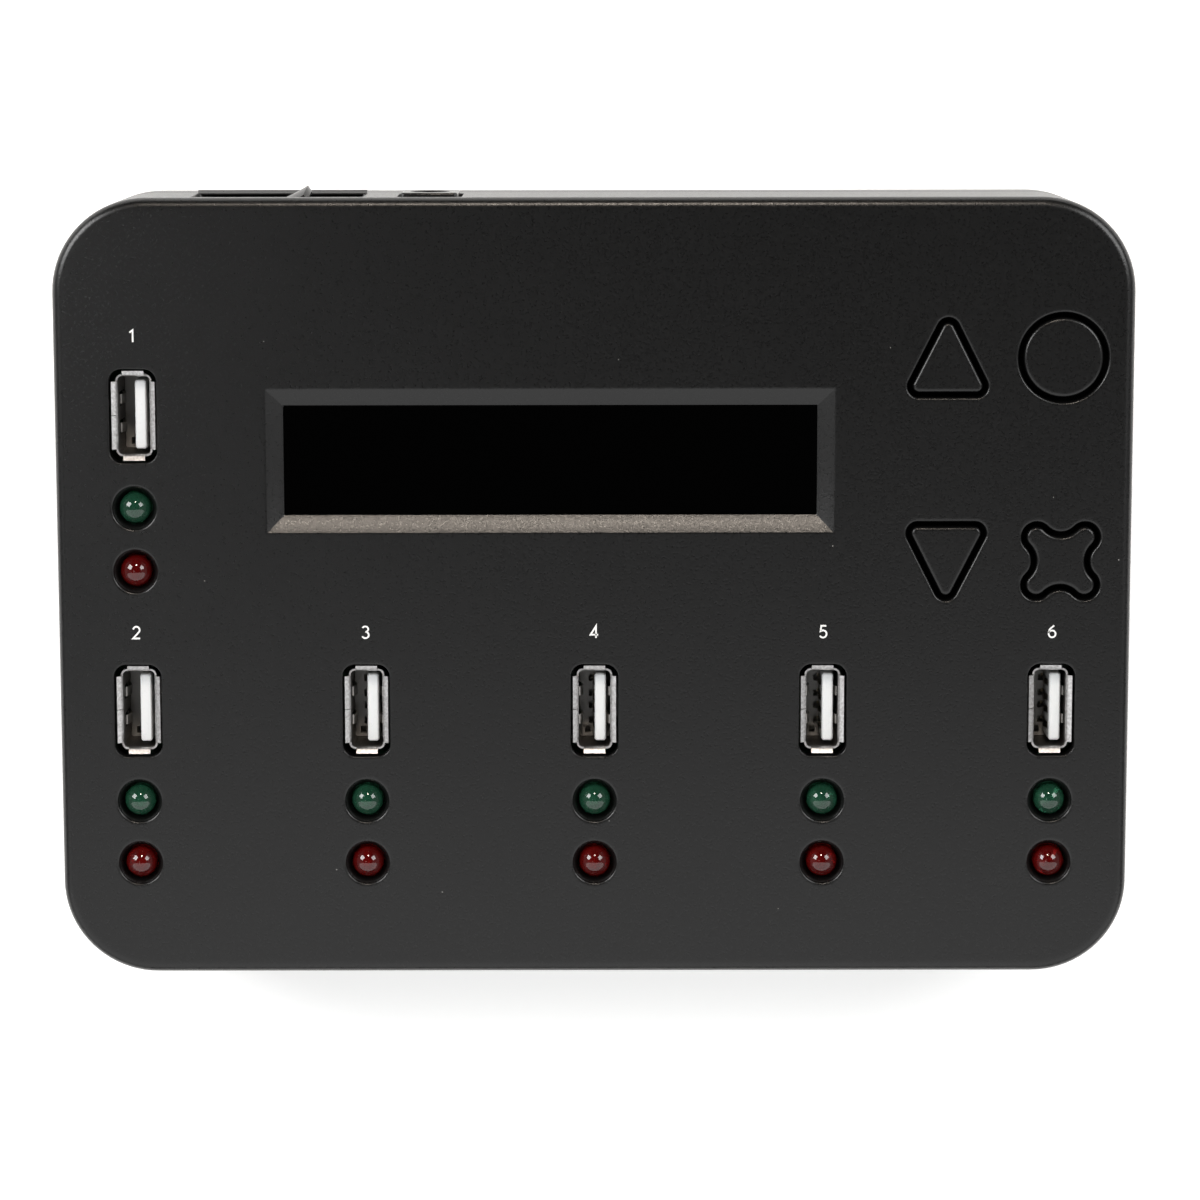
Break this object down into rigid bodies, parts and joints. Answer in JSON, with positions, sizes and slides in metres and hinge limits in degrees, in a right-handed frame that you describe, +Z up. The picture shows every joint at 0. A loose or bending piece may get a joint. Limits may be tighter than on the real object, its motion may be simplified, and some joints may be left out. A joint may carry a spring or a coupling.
{
  "type": "usb flash drive duplicator",
  "caption": "Flat desktop box with upright USB ports in its top, status lamps in front of each port, a display window, a key pad and a rear rocker switch.",
  "frame": {"origin": "on the table under the middle of the case", "axes": "+Z up through the control panel, +Y to the rear wall with the power switch and the supply jack, +X to the side with the keys"},
  "size_m": [0.1714, 0.1266, 0.0308],
  "materials": {
    "case_plastic": "fine moulded grain, black",
    "key_plastic": "fine moulded grain, black",
    "rocker_plastic": "smooth moulded black",
    "jack_plastic": "smooth moulded black",
    "window_acrylic": "smoked clear acrylic, polished",
    "display_glass": "liquid crystal cell, unlit",
    "light_guide_acrylic": "milky acrylic",
    "display_frame_metal": "thin black sheet",
    "port_steel": "nickel-plated pressed sheet",
    "port_plastic": "white moulded",
    "contact_gold": "gold-plated spring strip",
    "jack_pin_metal": "nickel-plated turned pin",
    "lamp_green": "tinted epoxy, unlit",
    "lamp_red": "tinted epoxy, unlit",
    "lead_steel": "tinned wire",
    "spacer_nylon": "natural moulded nylon",
    "foot_rubber": "matte black",
    "screw_steel": "blackened steel",
    "board_laminate": "glass-fibre laminate, green mask",
    "header_plastic": "black strip with plated pins",
    "chip_plastic": "moulded epoxy",
    "capacitor_can": "sleeved drawn can",
    "crystal_can": "drawn can",
    "switch_plastic": "moulded nylon",
    "terminal_brass": "tinned brass strip"
  },
  "bodies": {
    "case": {"top_shell": "case_plastic", "bottom_shell": "case_plastic", "power_switch_body": "rocker_plastic", "dc_jack_body": "jack_plastic", "display_window": "window_acrylic", "lcd_glass": "display_glass", "lcd_light_guide": "light_guide_acrylic", "lcd_frame": "display_frame_metal", "usb_shell_1": "port_steel", "usb_shell_2": "port_steel", "usb_shell_3": "port_steel", "usb_shell_4": "port_steel", "usb_shell_5": "port_steel", "usb_shell_6": "port_steel", "usb_insulator_1": "port_plastic", "usb_insulator_2": "port_plastic", "usb_insulator_3": "port_plastic", "usb_insulator_4": "port_plastic", "usb_insulator_5": "port_plastic", "usb_insulator_6": "port_plastic", "usb_contacts": "contact_gold", "dc_jack_pin": "jack_pin_metal", "green_led_1": "lamp_green", "green_led_2": "lamp_green", "green_led_3": "lamp_green", "green_led_4": "lamp_green", "green_led_5": "lamp_green", "green_led_6": "lamp_green", "red_led_1": "lamp_red", "red_led_2": "lamp_red", "red_led_3": "lamp_red", "red_led_4": "lamp_red", "red_led_5": "lamp_red", "red_led_6": "lamp_red", "led_leads": "lead_steel", "led_spacers": "spacer_nylon", "rubber_feet": "foot_rubber", "case_screws": "screw_steel", "board_screws": "screw_steel", "lcd_screws": "screw_steel", "main_board": "board_laminate", "lcd_board": "board_laminate", "lcd_header": "header_plastic", "controller_chips": "chip_plastic", "capacitors": "capacitor_can", "crystal": "crystal_can", "tact_switches": "switch_plastic", "switch_terminals": "terminal_brass"},
    "up_key": {"key_up": "key_plastic", "plunger_up": "switch_plastic"},
    "ok_key": {"key_ok": "key_plastic", "plunger_ok": "switch_plastic"},
    "down_key": {"key_down": "key_plastic", "plunger_down": "switch_plastic"},
    "cancel_key": {"key_cancel": "key_plastic", "plunger_cancel": "switch_plastic"},
    "rocker": {"power_rocker": "rocker_plastic"}
  },
  "joints": [
    {"name": "up_key_press", "type": "slide", "parent": "case", "child": "up_key", "axis": [0, 0, -1], "range_m": [0, 0.0003], "stiffness_N_per_m": 1200, "springref_m": -0.0008},
    {"name": "ok_key_press", "type": "slide", "parent": "case", "child": "ok_key", "axis": [0, 0, -1], "range_m": [0, 0.0003], "stiffness_N_per_m": 1200, "springref_m": -0.0008},
    {"name": "down_key_press", "type": "slide", "parent": "case", "child": "down_key", "axis": [0, 0, -1], "range_m": [0, 0.0003], "stiffness_N_per_m": 1200, "springref_m": -0.0008},
    {"name": "cancel_key_press", "type": "slide", "parent": "case", "child": "cancel_key", "axis": [0, 0, -1], "range_m": [0, 0.0003], "stiffness_N_per_m": 1200, "springref_m": -0.0008},
    {"name": "power_rocker_tilt", "type": "hinge", "parent": "case", "child": "rocker", "pos_m": [-0.05025, 0.05878, 0.0205], "axis": [0, 0, 1], "range_deg": [-24, 0]}
  ]
}
